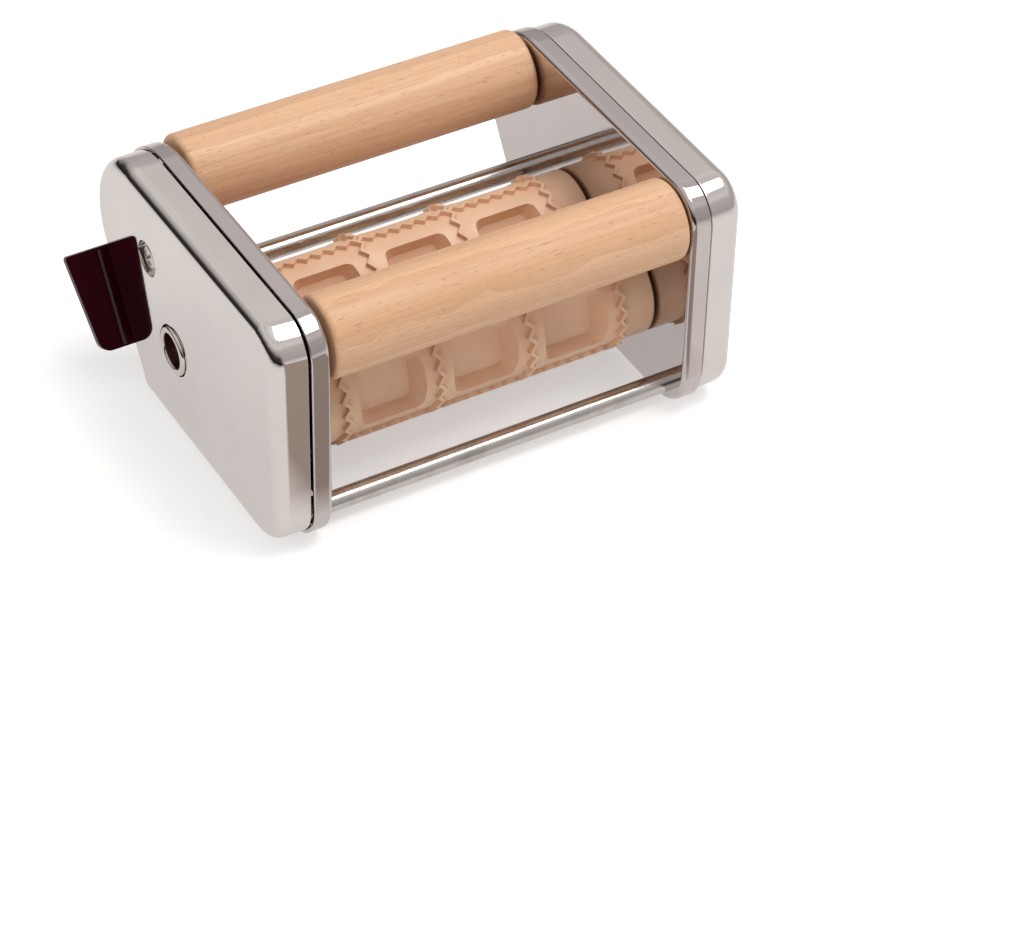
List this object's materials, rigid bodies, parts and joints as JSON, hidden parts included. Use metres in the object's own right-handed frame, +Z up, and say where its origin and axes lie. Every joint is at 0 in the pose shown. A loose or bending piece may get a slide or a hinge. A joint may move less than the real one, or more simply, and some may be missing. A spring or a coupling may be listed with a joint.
{
  "type": "ravioli maker",
  "caption": "Roller ravioli maker: geared moulding rollers with square pockets under two wood rollers, between chromed end housings with a crank socket and mounting tabs.",
  "frame": {"origin": "under the middle of the object, on the surface that it stands on", "axes": "+X along the rollers, from the crank socket's end to the far end; +Y from the outlet side to the slanted back; +Z up"},
  "size_m": [0.2248, 0.1514, 0.1029],
  "materials": {
    "cheek_chrome": "polished chrome",
    "cover_chrome": "polished chrome",
    "beech": "turned and sanded beech",
    "axle_steel": "turned steel",
    "cream_plastic": "moulded, satin",
    "shaft_steel": "ground steel",
    "gear_steel": "cut steel",
    "ring_steel": "dark spring steel",
    "bush_plastic": "white bearing plastic",
    "socket_chrome": "turned and chromed",
    "pin_steel": "ground steel",
    "screw_nickel": "nickel plated",
    "rod_steel": "bright drawn steel",
    "black_plastic": "black gloss"
  },
  "bodies": {
    "frame": {"left_cheek": "cheek_chrome", "right_cheek": "cheek_chrome", "left_cover": "cover_chrome", "right_cover": "cover_chrome", "front_roller_axle": "axle_steel", "rear_roller_axle": "axle_steel", "left_bushes": "bush_plastic", "right_bushes": "bush_plastic", "left_cover_pillar": "axle_steel", "right_cover_pillar": "axle_steel", "left_cover_screw": "screw_nickel", "right_cover_screw": "screw_nickel", "tie_rods": "rod_steel", "tie_rod_screws": "screw_nickel", "left_mounting_tab": "black_plastic", "right_mounting_tab": "black_plastic", "tab_screws": "screw_nickel"},
    "front_wood": {"front_wood_roller": "beech"},
    "rear_wood": {"rear_wood_roller": "beech"},
    "rear_mould": {"rear_mould_roller": "cream_plastic", "rear_mould_shaft": "shaft_steel", "rear_gear": "gear_steel", "rear_gear_key": "shaft_steel", "rear_shaft_ring": "ring_steel", "crank_socket": "socket_chrome", "crank_cross_pin": "pin_steel"},
    "front_mould": {"front_mould_roller": "cream_plastic", "front_mould_shaft": "shaft_steel", "front_gear": "gear_steel", "front_gear_key": "shaft_steel", "front_shaft_rings": "ring_steel"}
  },
  "joints": [
    {"name": "front_wood_spin", "type": "hinge", "parent": "frame", "child": "front_wood", "pos_m": [0, -0.0599, 0.0864], "axis": [1, 0, 0], "continuous": true},
    {"name": "rear_wood_spin", "type": "hinge", "parent": "frame", "child": "rear_wood", "pos_m": [0, 0.0502, 0.0864], "axis": [1, 0, 0], "continuous": true},
    {"name": "rear_mould_spin", "type": "hinge", "parent": "frame", "child": "rear_mould", "pos_m": [0, 0.00788, 0.0422], "axis": [1, 0, 0], "continuous": true},
    {"name": "front_mould_spin", "type": "hinge", "parent": "frame", "child": "front_mould", "pos_m": [0, -0.0351, 0.039], "axis": [1, 0, 0], "continuous": true}
  ],
  "couplings": [
    {"joint": "front_mould_spin", "follows": "rear_mould_spin", "ratio": -1}
  ]
}
